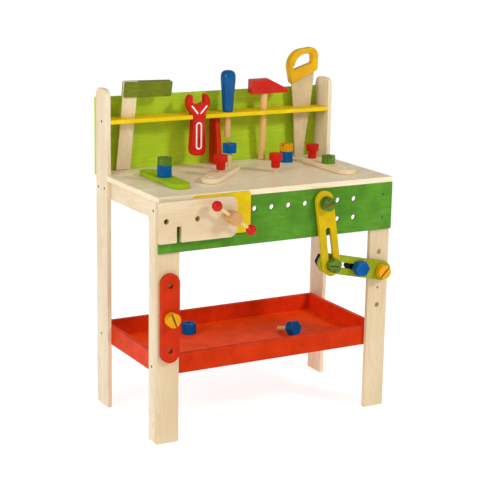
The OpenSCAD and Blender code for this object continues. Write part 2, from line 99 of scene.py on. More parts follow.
def buildWoodGrain():
    # growth rings and fibres that run along X of the vector
    group, start, end = newGroup(
        "woodGrain",
        [("Vector", "NodeSocketVector", None), ("Ring Size", "NodeSocketFloat", 1.0)],
        [("Rings", "NodeSocketFloat"), ("Fibres", "NodeSocketFloat"), ("Patches", "NodeSocketFloat")])
    vector = start.outputs["Vector"]
    long = addNode(group, "Mapping", {"Vector": vector, "Scale": (1.1, 9.0, 9.0)})
    wander = addNode(group, "TexNoise", {"Vector": long.outputs[0], "Scale": 2.2, "Detail": 2.5,
                                         "Roughness": 0.45, "Distortion": 0.25})
    count = addMath(group, "DIVIDE", 17.0, start.outputs["Ring Size"])
    phase = addMath(group, "MULTIPLY", wander.outputs["Fac"], count)
    ramp = addMath(group, "FRACT", phase)
    late = addRange(group, ramp, 0.15, 0.92, 0.0, 1.0)
    early = addRange(group, ramp, 0.94, 1.0, 1.0, 0.0)
    rings = addMath(group, "MULTIPLY", addMath(group, "POWER", late, 2.2), early)
    fibre = addNode(group, "Mapping", {"Vector": vector, "Scale": (14.0, 700.0, 700.0)})
    fibres = addNode(group, "TexNoise", {"Vector": fibre.outputs[0], "Scale": 1.0, "Detail": 3.0,
                                         "Roughness": 0.6})
    patch = addNode(group, "Mapping", {"Vector": vector, "Scale": (4.0, 22.0, 22.0)})
    patches = addNode(group, "TexNoise", {"Vector": patch.outputs[0], "Scale": 1.0, "Detail": 3.0})
    group.links.new(rings, end.inputs["Rings"])
    group.links.new(fibres.outputs["Fac"], end.inputs["Fibres"])
    group.links.new(patches.outputs["Fac"], end.inputs["Patches"])
    return group


def buildEdgeWear():
    # 1 on edges that are rubbed, 0 on faces
    group, start, end = newGroup(
        "edgeWear",
        [("Vector", "NodeSocketVector", None), ("Radius", "NodeSocketFloat", 0.0016),
         ("Amount", "NodeSocketFloat", 0.5)],
        [("Edge", "NodeSocketFloat")])
    rounded = addNode(group, "Bevel", {"Radius": start.outputs["Radius"]}, samples=4)
    flat = addNode(group, "NewGeometry")
    turn = addNode(group, "VectorMath", {0: rounded.outputs[0], 1: flat.outputs["True Normal"]},
                   operation="DOT_PRODUCT")
    edge = addRange(group, turn.outputs["Value"], 0.985, 0.87, 0.0, 1.0)
    spots = addNode(group, "TexNoise", {"Vector": start.outputs["Vector"], "Scale": 95.0, "Detail": 3.0})
    broken = addRange(group, spots.outputs["Fac"], 0.42, 0.62, 0.15, 1.0)
    rubbed = addMath(group, "MULTIPLY", edge, broken)
    group.links.new(addMath(group, "MULTIPLY", rubbed, start.outputs["Amount"]), end.inputs["Edge"])
    return group


def buildPaintedLine():
    # 1 within a line of the given width, drawn at a distance round a segment
    group, start, end = newGroup(
        "paintedLine",
        [("Vector", "NodeSocketVector", None), ("From", "NodeSocketVector", None),
         ("To", "NodeSocketVector", None), ("Distance", "NodeSocketFloat", 0.0),
         ("Width", "NodeSocketFloat", 0.003)],
        [("Mask", "NodeSocketFloat")])

    def vectorMath(operation, first, second, output=0):
        return addNode(group, "VectorMath", {0: first, 1: second}, operation=operation).outputs[output]

    flatten = (1.0, 0.0, 1.0)
    point = vectorMath("MULTIPLY", start.outputs["Vector"], flatten)
    begin = vectorMath("MULTIPLY", start.outputs["From"], flatten)
    finish = vectorMath("MULTIPLY", start.outputs["To"], flatten)
    along = vectorMath("SUBTRACT", finish, begin)
    away = vectorMath("SUBTRACT", point, begin)
    share = addMath(group, "DIVIDE", vectorMath("DOT_PRODUCT", away, along, "Value"),
                    vectorMath("DOT_PRODUCT", along, along, "Value"))
    clamped = addNode(group, "Clamp", {"Value": share}).outputs[0]
    scaled = addNode(group, "VectorMath", {0: along, "Scale": clamped}, operation="SCALE").outputs[0]
    off = addNode(group, "VectorMath", {0: vectorMath("SUBTRACT", away, scaled)},
                  operation="LENGTH").outputs["Value"]
    ring = addMath(group, "ABSOLUTE", addMath(group, "SUBTRACT", off, start.outputs["Distance"]))
    half = addMath(group, "MULTIPLY", start.outputs["Width"], 0.5)
    fade = 0.00025                       # metres over which the line's edge goes from full to none
    inner = addMath(group, "SUBTRACT", half, fade)
    outer = addMath(group, "ADD", half, fade)
    group.links.new(addRange(group, ring, inner, outer, 1.0, 0.0), end.inputs["Mask"])
    return group


woodGrain = buildWoodGrain()
edgeWear = buildEdgeWear()
paintedLine = buildPaintedLine()
print("shader groups built")

alongX = (0.0, 0.0, 0.0)          # turns of the grain, in degrees
alongY = (0.0, 0.0, 90.0)
alongZ = (0.0, 90.0, 0.0)


def addGroup(tree, group, values):
    return addNode(tree, "Group", values, node_tree=group)


def mixColour(tree, share, first, second):
    # inputs 0, 6 and 7 and output 2 are the ones that a mix of colours uses
    return addNode(tree, "Mix", {0: share, 6: first, 7: second}, data_type="RGBA").outputs[2]


def startMaterial(name, turn, shift):
    material = bpy.data.materials.new(name)
    material.use_nodes = True
    tree = material.node_tree
    shader = tree.nodes["Principled BSDF"]
    place = addNode(tree, "TexCoord").outputs["Object"]
    mapping = addNode(tree, "Mapping", {"Vector": place, "Location": shift,
                                        "Rotation": [math.radians(a) for a in turn]})
    return material, tree, shader, place, mapping.outputs[0]


def addBump(tree, shader, parts):
    # parts are heights in metres, each a socket and how much of it counts
    height = None
    for socket, amount in parts:
        part = addMath(tree, "MULTIPLY", socket, amount)
        height = part if height is None else addMath(tree, "ADD", height, part)
    bump = addNode(tree, "Bump", {"Height": height, "Strength": 1.0, "Distance": 1.0})
    tree.links.new(bump.outputs[0], shader.inputs["Normal"])


def bareWood(name, turn=alongX, shift=(0, 0, 0), pale=(236, 221, 190), dark=(217, 190, 148),
             ring=(204, 170, 122), ringSize=1.0, ringShare=0.28, shine=0.36):
    # clear lacquered wood: pale, with rings, fibres and slow changes of tone
    material, tree, shader, place, vector = startMaterial(name, turn, shift)
    grain = addGroup(tree, woodGrain, {"Vector": vector, "Ring Size": ringSize})
    wear = addGroup(tree, edgeWear, {"Vector": place, "Radius": 0.0018, "Amount": 0.35})
    tone = addRange(tree, grain.outputs["Patches"], 0.3, 0.72, 0.0, 0.75)
    colour = mixColour(tree, tone, srgb(*pale), srgb(*dark))
    rings = addMath(tree, "MULTIPLY", grain.outputs["Rings"], ringShare)
    colour = mixColour(tree, rings, colour, srgb(*ring))
    streak = addRange(tree, grain.outputs["Fibres"], 0.52, 0.8, 0.0, 0.3)
    colour = mixColour(tree, streak, colour, srgb(*ring))
    colour = mixColour(tree, wear.outputs[0], colour, srgb(*[min(255, c + 12) for c in pale]))
    rough = addRange(tree, grain.outputs["Fibres"], 0.3, 0.75, shine, shine + 0.16)
    fill(tree, shader, {"Base Color": colour, "Roughness": rough, "Specular IOR Level": 0.3,
                        "Coat Weight": 0.1, "Coat Roughness": 0.22})
    addBump(tree, shader, [(grain.outputs["Fibres"], 0.00009), (grain.outputs["Rings"], 0.00005)])
    return material


def paintedWood(name, colour, turn=alongX, shift=(0, 0, 0), deep=0.80, light=1.08, grainShare=0.35,
                bare=(214, 184, 138), wearAmount=0.30, shine=0.34, coat=0.0, gloss=0.07, mottle=1.0,
                polish=0.12):
    # a coat of paint through which the grain still reads, rubbed thin along the edges: deep and light
    # scale its tones, shine is its lowest roughness, coat and polish are the lacquer's share and
    # roughness, and gloss is how much the paint itself mirrors
    material, tree, shader, place, vector = startMaterial(name, turn, shift)
    grain = addGroup(tree, woodGrain, {"Vector": vector, "Ring Size": 1.0})
    wear = addGroup(tree, edgeWear, {"Vector": place, "Radius": 0.0014, "Amount": wearAmount})
    base = srgb(*colour)
    darker = tuple(c * deep for c in base[:3]) + (1.0,)
    lighter = tuple(min(1.0, c * light + 0.002) for c in base[:3]) + (1.0,)
    brush = addNode(tree, "TexNoise", {"Vector": vector, "Scale": 26.0, "Detail": 5.0, "Roughness": 0.55})
    tone = addRange(tree, brush.outputs["Fac"], 0.35, 0.68, 0.0, mottle)
    look = mixColour(tree, tone, lighter, darker)
    rings = addMath(tree, "MULTIPLY", grain.outputs["Rings"], grainShare)
    look = mixColour(tree, rings, look, darker)
    streak = addRange(tree, grain.outputs["Fibres"], 0.5, 0.85, 0.0, grainShare)
    look = mixColour(tree, streak, look, darker)
    look = mixColour(tree, wear.outputs[0], look, srgb(*bare))
    rough = addRange(tree, brush.outputs["Fac"], 0.3, 0.7, shine, shine + 0.14)
    fill(tree, shader, {"Base Color": look, "Roughness": rough, "Specular IOR Level": gloss,
                        "Coat Weight": coat, "Coat Roughness": polish})
    addBump(tree, shader, [(grain.outputs["Fibres"], 0.00007), (grain.outputs["Rings"], 0.00004),
                           (brush.outputs["Fac"], 0.00010)])
    return material


def darkSteel(name):
    material, tree, shader, place, vector = startMaterial(name, alongX, (0, 0, 0))
    spots = addNode(tree, "TexNoise", {"Vector": place, "Scale": 900.0, "Detail": 3.0})
    look = mixColour(tree, spots.outputs["Fac"], srgb(70, 64, 58), srgb(128, 118, 106))
    rough = addRange(tree, spots.outputs["Fac"], 0.3, 0.7, 0.32, 0.55)
    fill(tree, shader, {"Base Color": look, "Roughness": rough, "Metallic": 0.9})
    addBump(tree, shader, [(spots.outputs["Fac"], 0.00004)])
    return material


modelling = {
    "merge": 0.00001,            # points of a frame piece this close are one
    "spinMerge": 0.000005,       # and those of a turned piece
    "flat": 0.6,                 # degrees between faces that are one face
    "soft": 42,                  # edges flatter than this are smooth on a board
    "turnedSoft": 38,            # and on a turned piece
}


def selectOnly(piece):
    bpy.ops.object.select_all(action="DESELECT")
    piece.select_set(True)
    bpy.context.view_layer.objects.active = piece


def applyModifier(piece, kind, **settings):
    selectOnly(piece)
    modifier = piece.modifiers.new(kind.lower(), kind)
    for key, value in settings.items():
        setattr(modifier, key, value)
    bpy.ops.object.modifier_apply(modifier=modifier.name)


def roundEdges(piece, width, steps=3, angle=50):
    # eases every sharp edge, then keeps the flat faces flat to the light
    applyModifier(piece, "BEVEL", width=width, segments=steps, limit_method="ANGLE",
                  angle_limit=math.radians(angle), use_clamp_overlap=False, loop_slide=False)
    applyModifier(piece, "TRIANGULATE", quad_method="BEAUTY", ngon_method="BEAUTY", min_vertices=5)
    selectOnly(piece)
    bpy.ops.object.shade_smooth_by_angle(angle=math.radians(modelling["soft"]))
    applyModifier(piece, "WEIGHTED_NORMAL", keep_sharp=True, weight=80)


def copyOf(node, name):
    # a merged copy of a frame piece, which can be shaped further
    piece = bpy.data.objects.new(name, frame["nodes"][node].data.copy())
    bpy.context.scene.collection.objects.link(piece)
    piece.data.materials.clear()
    selectOnly(piece)
    bpy.ops.object.mode_set(mode="EDIT")
    bpy.ops.mesh.select_all(action="SELECT")
    bpy.ops.mesh.remove_doubles(threshold=modelling["merge"])
    bpy.ops.mesh.dissolve_limited(angle_limit=math.radians(modelling["flat"]))
    bpy.ops.object.mode_set(mode="OBJECT")
    return piece


def settle(piece):
    # puts the piece's place into its mesh
    selectOnly(piece)
    bpy.ops.object.transform_apply(location=True, rotation=True, scale=True)


def finishPiece(piece, material, body, slot, *nodes, second=None):
    settle(piece)
    marks = [face.material_index for face in piece.data.polygons]
    piece.data.materials.clear()
    piece.data.materials.append(material)
    if second:
        piece.data.materials.append(second)
        piece.data.polygons.foreach_set("material_index", marks)
    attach(piece, body)
    if nodes:
        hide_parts(*nodes)
    return piece


def finishNode(piece, material, node):
    return finishPiece(piece, material, bodyOf[node], slotOf[node], node)


def carve(node, look):
    # eases the edges of a frame piece and gives it its finish
    piece = copyOf(node, look["name"])
    roundEdges(piece, look["edge"], look.get("steps", 3), look.get("angle", 50))
    material = paintedWood(**look["paint"]) if "paint" in look else bareWood(**look["wood"])
    return finishNode(piece, material, node)


def lathe(name, profile, steps=64):
    # spins a profile of (radius, height) points round Z
    points = [Vector((r, 0.0, h)) for r, h in profile]
    bpy.ops.object.select_all(action="DESELECT")
    bpy.ops.mesh.primitive_plane_add(size=0.001, location=(0, 0, 0))
    piece = bpy.context.active_object
    piece.name = name
    bpy.ops.object.mode_set(mode="EDIT")
    bpy.ops.mesh.merge(type="CENTER")
    bpy.ops.transform.translate(value=points[0])
    for here, ahead in zip(points, points[1:]):
        bpy.ops.mesh.extrude_region_move(TRANSFORM_OT_translate={"value": ahead - here})
    bpy.ops.mesh.select_all(action="SELECT")
    bpy.ops.mesh.spin(steps=steps, angle=2 * math.pi, center=(0, 0, 0), axis=(0, 0, 1))
    bpy.ops.mesh.select_all(action="SELECT")
    bpy.ops.mesh.remove_doubles(threshold=modelling["spinMerge"])
    bpy.ops.mesh.normals_make_consistent(inside=False)
    bpy.ops.object.mode_set(mode="OBJECT")
    bpy.ops.object.shade_smooth_by_angle(angle=math.radians(modelling["turnedSoft"]))
    return piece


def roundedProfile(points, steps=4):
    # points are (radius, height, rounding); each corner with a rounding becomes an arc
    result = []
    for i, (r, h, rounding) in enumerate(points):
        if rounding <= 0 or i in (0, len(points) - 1):
            result.append((r, h))
            continue
        here = Vector((r, h))
        back = Vector(points[i - 1][:2]) - here
        ahead = Vector(points[i + 1][:2]) - here
        begin = here + back.normalized() * min(rounding, back.length / 2)
        finish = here + ahead.normalized() * min(rounding, ahead.length / 2)
        for k in range(steps + 1):
            t = k / steps
            spot = begin * (1 - t) ** 2 + here * 2 * t * (1 - t) + finish * t ** 2
            result.append((spot.x, spot.y))
    return result


def cutWith(piece, cutter):
    applyModifier(piece, "BOOLEAN", operation="DIFFERENCE", solver="EXACT", object=cutter)
    bpy.data.objects.remove(cutter, do_unlink=True)


def addCutter(size, place, turn=(0, 0, 0)):
    bpy.ops.object.select_all(action="DESELECT")
    bpy.ops.mesh.primitive_cube_add(size=1, location=place, rotation=turn)
    cutter = bpy.context.active_object
    cutter.scale = size
    settle(cutter)
    return cutter


def turned(piece, matrix):
    piece.data.transform(matrix)
    return piece


def copyPiece(model, name, matrix):
    # a copy with a mesh of its own, put in place
    piece = model.copy()
    piece.data = model.data.copy()
    piece.name = name
    bpy.context.scene.collection.objects.link(piece)
    return turned(piece, matrix)


def joinPieces(pieces, name):
    selectOnly(pieces[0])
    for piece in pieces[1:]:
        piece.select_set(True)
    bpy.ops.object.join()
    pieces[0].name = name
    return pieces[0]


def dropModels(*models):
    for model in models:
        bpy.data.objects.remove(model, do_unlink=True)


def boxOf(node):
    # lowest corner, highest corner and middle
    low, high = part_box(node)
    return low, high, (low + high) / 2


def turnAbout(axis, degrees):
    return Matrix.Rotation(math.radians(degrees), 4, axis)


facing = {"up": Matrix.Identity(4), "front": turnAbout("X", 90)}      # for a piece drawn along +Z
grainOf = {"up": alongZ, "front": alongY}


boards = {
    "edge": 0.0013,
    "legFrontShadeTones": {"pale": (222, 203, 167), "dark": (204, 176, 132)},      # the front faces of the legs: wood tones darker than the other boards' as painted shade
    "pieces": {
        # node: grain, shift of the pattern
        "rear_upright_left": (alongZ, (0.2, 0.1, 0.0)),
        "rear_upright_right": (alongZ, (1.3, 0.4, 0.2)),
        "front_leg_left": (alongZ, (2.1, 0.7, 0.5)),
        "front_leg_left_side": (alongZ, (3.4, 0.2, 0.8)),
        "front_leg_right": (alongZ, (4.2, 1.1, 0.3)),
        "front_leg_right_side": (alongZ, (5.5, 1.7, 0.9)),
        "side_rail_left": (alongY, (6.1, 0.3, 1.4)),
        "side_rail_right": (alongY, (7.7, 0.9, 1.2)),
        "rear_rail": (alongX, (8.3, 1.6, 0.4)),
    },
}


def makeBoards():
    for node, (turn, shift) in boards["pieces"].items():
        # the front boards of the front legs take the darker tones, painted shade on their front faces
        tones = boards["legFrontShadeTones"] if node in ("front_leg_left", "front_leg_right") else {}
        carve(node, dict(name=node + "_board", edge=boards["edge"],
                         wood=dict(name=node + "_wood", turn=turn, shift=shift, **tones)))
    print("frame boards made")


# the worktop's wood is paler than the frame boards' as painted light on its top
worktop = dict(name="worktop_board", edge=0.0018, steps=4, wood=dict(
    name="worktopLitWood", turn=alongX, shift=(9.4, 0.6, 0.1), pale=(246, 233, 203), dark=(233, 209, 169),
    ringSize=0.8, ringShare=0.26))


def makeWorktop():
    carve("worktop", worktop)
    print("worktop made")


paintedBoards = {
    # node: edge, colour, grain, shift, other paint values
    "front_apron": (0.0010, (86, 143, 38), alongX, (1.0, 2.0, 3.0),
                    dict(deep=0.68, grainShare=0.42, mottle=0.8)),
    "back_panel": (0.0012, (180, 212, 44), alongX, (3.0, 1.0, 2.0),
                   dict(deep=0.78, grainShare=0.4, mottle=0.5)),
    "tool_rail": (0.0014, (237, 202, 14), alongX, (2.0, 3.0, 1.0), dict(deep=0.86, grainShare=0.2)),
    "rail_support": (0.0012, (217, 50, 12), alongZ, (0.4, 0.8, 1.2), dict(deep=0.75, grainShare=0.3)),
    # the tray's boards have one orange-red paint; their colours differ as painted light and shade: the
    # floor and right board lighter, the front board darker
    "tray_floor": (0.0004, (252, 76, 14), alongX, (5.0, 2.0, 1.0), dict(deep=0.82, grainShare=0.3)),
    "tray_front": (0.0012, (202, 50, 6), alongX, (4.0, 1.0, 1.5),
                   dict(deep=0.84, grainShare=0.25, gloss=0.04)),
    "tray_back": (0.0012, (226, 58, 12), alongX, (6.0, 1.4, 1.1), dict(deep=0.82, grainShare=0.3)),
    "tray_left": (0.0012, (220, 56, 10), alongY, (7.0, 1.8, 1.3), dict(deep=0.82, grainShare=0.3)),
    "tray_right": (0.0012, (250, 62, 12), alongY, (8.0, 1.2, 1.9), dict(deep=0.82, grainShare=0.3)),
    "vise_fixed_jaw": (0.0012, (222, 190, 12), alongX, (1.6, 1.3, 0.2), dict(deep=0.88, grainShare=0.2)),
}


def makePaintedBoards():
    for node, (edge, colour, turn, shift, paint) in paintedBoards.items():
        carve(node, dict(name=node + "_painted", edge=edge, paint=dict(
            name=node + "_paint", colour=colour, turn=turn, shift=shift, **paint)))
    print("painted boards made")


screwValues = {"radius": 0.0031, "rim": 0.0002, "face": 0.96, "depth": 0.0016, "edge": 0.0001,
               "recess": 0.0011, "cross": 0.0036, "bar": 0.0009,
               "turn": 7.5,            # keeps the recess's corners off the edges of the turned head
               "nextTurn": 37}         # degrees from one screw's cross to the next


def screwHead(name):
    # countersunk head with a cross recess, its flat face up at z = 0
    v = screwValues
    profile = [(0.0, -v["depth"], 0), (v["radius"] / 2, -v["depth"], 0),
               (v["radius"], -v["rim"], v["edge"]), (v["radius"] * v["face"], 0.0, v["edge"]),
               (0.0, 0.0, 0)]
    piece = lathe(name, roundedProfile(profile, 2), 24)
    for turn in (v["turn"], v["turn"] + 90):
        cutWith(piece, addCutter((v["cross"], v["bar"], 2 * v["recess"]), (0, 0, 0),
                                 (0, 0, math.radians(turn))))
    return piece


def looseParts(node):
    # the lowest and highest corner of each separate solid of a node
    copyOf(node, "parts")
    bpy.ops.object.mode_set(mode="EDIT")
    bpy.ops.mesh.select_all(action="SELECT")
    bpy.ops.mesh.separate(type="LOOSE")
    bpy.ops.object.mode_set(mode="OBJECT")
    parts = list(bpy.context.selected_objects)
    boxes = []
    for part in parts:
        points = [v.co for v in part.data.vertices]
        boxes.append((Vector([min(p[i] for p in points) for i in range(3)]),
                      Vector([max(p[i] for p in points) for i in range(3)])))
        bpy.data.objects.remove(part, do_unlink=True)
    return sorted(boxes, key=lambda box: [round(c, 4) for c in box[0]])


def makeScrews():
    steel = darkSteel("screwSteel")
    model = screwHead("screwHead")
    heads = []
    for number, (low, high) in enumerate(looseParts("frame_screws")):
        size = high - low
        place = (low + high) / 2
        if size.x > size.y:
            left = place.x < 0
            place.x = low.x if left else high.x
            turn = turnAbout("Y", -90 if left else 90)
        else:
            place.y = low.y
            turn = facing["front"]
        spin = turnAbout("Z", screwValues["nextTurn"] * number % 90)
        heads.append(copyPiece(model, "screw%02d" % number, Matrix.Translation(place) @ turn @ spin))
    dropModels(model)
    finishNode(joinPieces(heads, "screw_heads"), steel, "frame_screws")
    print("screws made")


paints = {
    "green": dict(colour=(94, 132, 38), deep=0.42, light=1.35, grainShare=0.7, wearAmount=0.6),
    "yellow": dict(colour=(232, 160, 14), deep=0.78, grainShare=0.5, wearAmount=0.35),
    "blue": dict(colour=(2, 92, 160), deep=0.66, grainShare=0.35, wearAmount=0.4),
    "darkBlue": dict(colour=(14, 36, 78), deep=0.7, grainShare=0.35, wearAmount=0.4),
    "red": dict(colour=(204, 30, 16), deep=0.78, grainShare=0.3, wearAmount=0.35),
}
paintSlots = {"green": "bolt_green", "yellow": "bolt_yellow", "blue": "bolt_blue",
              "darkBlue": "dark_blue", "red": "peg_red"}

dowelWood = dict(ringSize=0.5, pale=(228, 196, 148), dark=(205, 165, 112))      # shanks and peg stems
# bare wood for the slots in the bolt heads, darker than the shanks' as painted shade in the slot
slotShadeWood = dict(name="slotShadeWood", turn=alongX, shift=(0.1, 0.7, 0.3), pale=(150, 112, 56),
                dark=(120, 84, 40), ring=(96, 66, 30))

boltValues = {"headRadius": 0.015, "headHeight": 0.017, "slotWidth": 0.0032, "slotDepth": 0.0042,
              "round": 0.0018, "slotEdge": 0.0005, "bareFrom": 0.0008, "shankRadius": 0.0050,
              "shankLength": 0.040, "tip": 0.0012}
hexValues = {"flats": 0.030, "headHeight": 0.020, "nutHeight": 0.024, "round": 0.0012, "bore": 0.0053}


def roundHead(name):
    # turned head with a screwdriver slot along X, its underside at z = 0
    v = boltValues
    r, h, edge = v["headRadius"], v["headHeight"], v["round"]
    profile = roundedProfile([(0.0, 0.0, 0), (r, 0.0, edge * 0.5), (r, h, edge), (0.0, h, 0)])
    piece = lathe(name, profile, 72)
    cutWith(piece, addCutter((4 * r, v["slotWidth"], 2 * v["slotDepth"]), (0, 0, h)))
    roundEdges(piece, v["slotEdge"], steps=2)
    near = 0.0001
    for face in piece.data.polygons:      # the walls and floor of the slot are bare wood, darkened as painted shade in the slot
        place = face.center
        inSlot = abs(place.y) < v["slotWidth"] / 2 + near
        if inSlot and h - v["slotDepth"] - near < place.z < h - v["bareFrom"]:
            face.material_index = 1
    return piece


def hexBlock(name, height, bore=None):
    # six-sided block on z = 0 with two of its corners along X
    v = hexValues
    bpy.ops.object.select_all(action="DESELECT")
    bpy.ops.mesh.primitive_cylinder_add(vertices=6, radius=v["flats"] / 2 / math.cos(math.pi / 6),
                                        depth=height, location=(0, 0, height / 2),
                                        rotation=(0, 0, math.radians(30)))
    piece = bpy.context.active_object
    piece.name = name
    settle(piece)
    if bore:
        bpy.ops.object.select_all(action="DESELECT")
        bpy.ops.mesh.primitive_cylinder_add(vertices=48, radius=bore, depth=3 * height,
                                            location=(0, 0, height / 2))
        cutWith(piece, bpy.context.active_object)
    roundEdges(piece, v["round"], steps=3, angle=35)
    return piece


def dowel(name, radius, bottom, top, tip=0.001):
    # round stick along Z, its lower end chamfered
    profile = roundedProfile([(0.0, bottom, 0), (radius, bottom, tip), (radius, top, tip * 0.3),
                              (0.0, top, 0)])
    return lathe(name, profile, 40)


def makeBoltModels():
    return {"round": roundHead("roundHeadModel"),
            "hex": hexBlock("hexHeadModel", hexValues["headHeight"]),
            "shank": dowel("shankModel", boltValues["shankRadius"], -boltValues["shankLength"], 0.0,
                           boltValues["tip"])}


def putBolt(models, node, kind, paint, direction, slotShadeWood, turn=0.0, matrix=None):
    # kind is round or hex; the head's outer end is where the node's box ends
    low, high, centre = boxOf(node)
    height = boltValues["headHeight"] if kind == "round" else hexValues["headHeight"]
    if matrix is None:
        place = centre.copy()
        if direction == "up":
            place.z = high.z - height
        else:
            place.y = low.y + height
        matrix = Matrix.Translation(place) @ facing[direction]
    head = copyPiece(models[kind], node + "_head", matrix @ turnAbout("Z", turn))
    shank = copyPiece(models["shank"], node + "_shank", matrix)
    grain = grainOf[direction]
    seed = tuple(centre * 7.0)
    finishPiece(head, paintedWood(node + "_paint", turn=grain, shift=seed, **paints[paint]),
                bodyOf[node], paintSlots[paint], node, second=slotShadeWood if kind == "round" else None)
    finishPiece(shank, bareWood(node + "_wood", grain, seed, **dowelWood), bodyOf[node], "dowel_wood")


bolts = {
    # node: kind, paint, direction, turn of the slot or of the flats
    "pivot_bolt_apron": ("round", "green", "front", 20),
    "pivot_bolt_leg": ("round", "yellow", "front", 45),
    "link_bolt": ("round", "green", "front", -8),
    "slot_bolt": ("hex", "blue", "front", 0),
    "leg_strip_bolt": ("round", "yellow", "front", -68),
    "bolt_green_left": ("round", "green", "up", -20),
    "bolt_blue_middle": ("hex", "blue", "up", 0),
    "bolt_yellow_centre": ("round", "yellow", "up", 30),
    "bolt_green_right": ("round", "green", "up", 80),
}


trayBolt = {"turn": 12, "lean": 14.04}      # how the loose bolt lies, in degrees


def makeBolts():
    bareShadedSlot = bareWood(**slotShadeWood)
    models = makeBoltModels()
    for node, (kind, paint, direction, turn) in bolts.items():
        putBolt(models, node, kind, paint, direction, bareShadedSlot, turn)
    turn, lean = (math.radians(trayBolt[k]) for k in ("turn", "lean"))
    axis = Vector((-math.sin(turn) * math.cos(lean), math.cos(turn) * math.cos(lean), -math.sin(lean)))
    points = [v.co for v in frame["nodes"]["tray_bolt"].data.vertices]
    reach = max(point.dot(axis) for point in points) - 0.0002
    ends = [point for point in points if point.dot(axis) > reach]      # the rim of the shank's tip
    under = sum(ends, Vector()) / len(ends) - axis * boltValues["shankLength"]
    side = axis.cross(Vector((0, 0, 1))).normalized()
    over = side.cross(axis).normalized()
    matrix = Matrix((side, over, -axis)).transposed().to_4x4()
    if matrix.determinant() < 0:
        matrix = Matrix((-side, over, -axis)).transposed().to_4x4()
    matrix.translation = under
    putBolt(models, "tray_bolt", "hex", "blue", "front", bareShadedSlot, 0, matrix)
    dropModels(*models.values())
    print("bolts made")


nuts = {
    # node: paint, direction, turn of the flats
    "link_nut": ("darkBlue", "front", 0),
    "slot_nut": ("darkBlue", "front", 0),
    "nut_blue_left": ("blue", "up", 0),
    "nut_blue_centre": ("blue", "up", 0),
    "tray_nut": ("blue", "up", 20),
}


def makeNuts():
    model = hexBlock("nutModel", hexValues["nutHeight"], hexValues["bore"])
    for node, (paint, direction, turn) in nuts.items():
        low, high, place = boxOf(node)
        if direction == "up":
            place.z = low.z
        else:
            place.y = high.y
        nut = copyPiece(model, node + "_block",
                        Matrix.Translation(place) @ facing[direction] @ turnAbout("Z", turn))
        material = paintedWood(node + "_block_paint", turn=grainOf[direction], shift=tuple(place * 9.0),
                               **paints[paint])
        finishPiece(nut, material, bodyOf[node], paintSlots[paint], node)
    backs = []
    for number, (low, high) in enumerate(looseParts("back_nuts")):
        place = (low + high) / 2
        place.y = high.y
        backs.append(copyPiece(model, "backNut%d" % number,
                               Matrix.Translation(place) @ facing["front"]))
    dropModels(model)
    finishNode(joinPieces(backs, "back_nut_blocks"),
               paintedWood("backNutPaint", turn=alongY, **paints["darkBlue"]), "back_nuts")
    print("nuts made")


pegValues = {"collarRadius": 0.0098, "collarHeight": 0.0165, "headRadius": 0.0145,
             "headHeight": 0.015, "round": 0.0014}


def makePegs():
    v = pegValues
    edge = v["round"]
    step = v["collarHeight"]
    top = step + v["headHeight"]
    profile = roundedProfile([
        (0.0, 0.0, 0), (v["collarRadius"], 0.0, edge), (v["collarRadius"], step, edge * 0.4),
        (v["headRadius"], step, edge), (v["headRadius"], top, edge), (0.0, top, 0)])
    model = lathe("pegModel", profile, 72)
    for node in ("peg_red_middle", "peg_red_centre", "peg_red_right"):
        low, high, centre = boxOf(node)
        collar = high.z - top
        head = copyPiece(model, node + "_head", Matrix.Translation((centre.x, centre.y, collar)))
        finishNode(head, paintedWood(node + "_paint", turn=alongZ, shift=tuple(centre * 8.0),
                                     **paints["red"]), node)
        shank = dowel(node + "_shank", boltValues["shankRadius"], low.z, collar, boltValues["tip"])
        finishPiece(turned(shank, Matrix.Translation((centre.x, centre.y, 0))),
                    bareWood(node + "_wood", alongZ, tuple(centre * 5.0), **dowelWood),
                    bodyOf[node], "dowel_wood")
    dropModels(model)
    print("pegs made")


jaw = dict(name="vise_jaw_board", edge=0.0018, steps=4, wood=dict(
    name="jawWood", turn=alongX, shift=(2.6, 3.1, 0.7), ringSize=0.9, pale=(226, 208, 174),
    dark=(209, 179, 136)))
guidePins = dict(name="vise_guide_dowels", edge=0.0008, wood=dict(
    name="pinWood", turn=alongY, shift=(0.3, 0.2, 0.9), ringSize=0.5))
knob = {
    "neck": 0.0108, "radius": 0.0150, "face": 0.0134, "belly": 0.0095, "length": 0.036, "round": 0.0012,
    "bellyRound": 0.009, "neckRound": 0.0008, "holeEdge": 0.0005, "holeRoom": 0.0002, "screwTip": 0.0012,
    "wood": dict(name="knobWood", turn=alongY, shift=(1.2, 0.4, 2.2), ringSize=0.6, pale=(212, 162, 100),
                 dark=(184, 130, 74), ring=(150, 100, 52), ringShare=0.3, shine=0.26),
}
viseBar = {
    "radius": 0.0035, "tilt": 35.3,
    "stick": dict(name="vise_bar_stick", edge=0.0006, steps=2, wood=dict(
        name="barWood", turn=(0.0, 35.3, 0.0), shift=(0.5, 2.4, 0.6), ringSize=0.5,
        pale=(240, 214, 168), dark=(222, 184, 130))),
}
ball = {
    "radius": 0.011, "seat": 0.0037, "socket": 0.55, "arcSteps": 30,
    "paint": dict(name="ballPaint", colour=(198, 26, 8), turn=alongX, shift=(0.1, 0.2, 0.3), deep=0.82,
                  grainShare=0.15, shine=0.16, coat=0.34, gloss=0.03, polish=0.05, wearAmount=0.1),
}


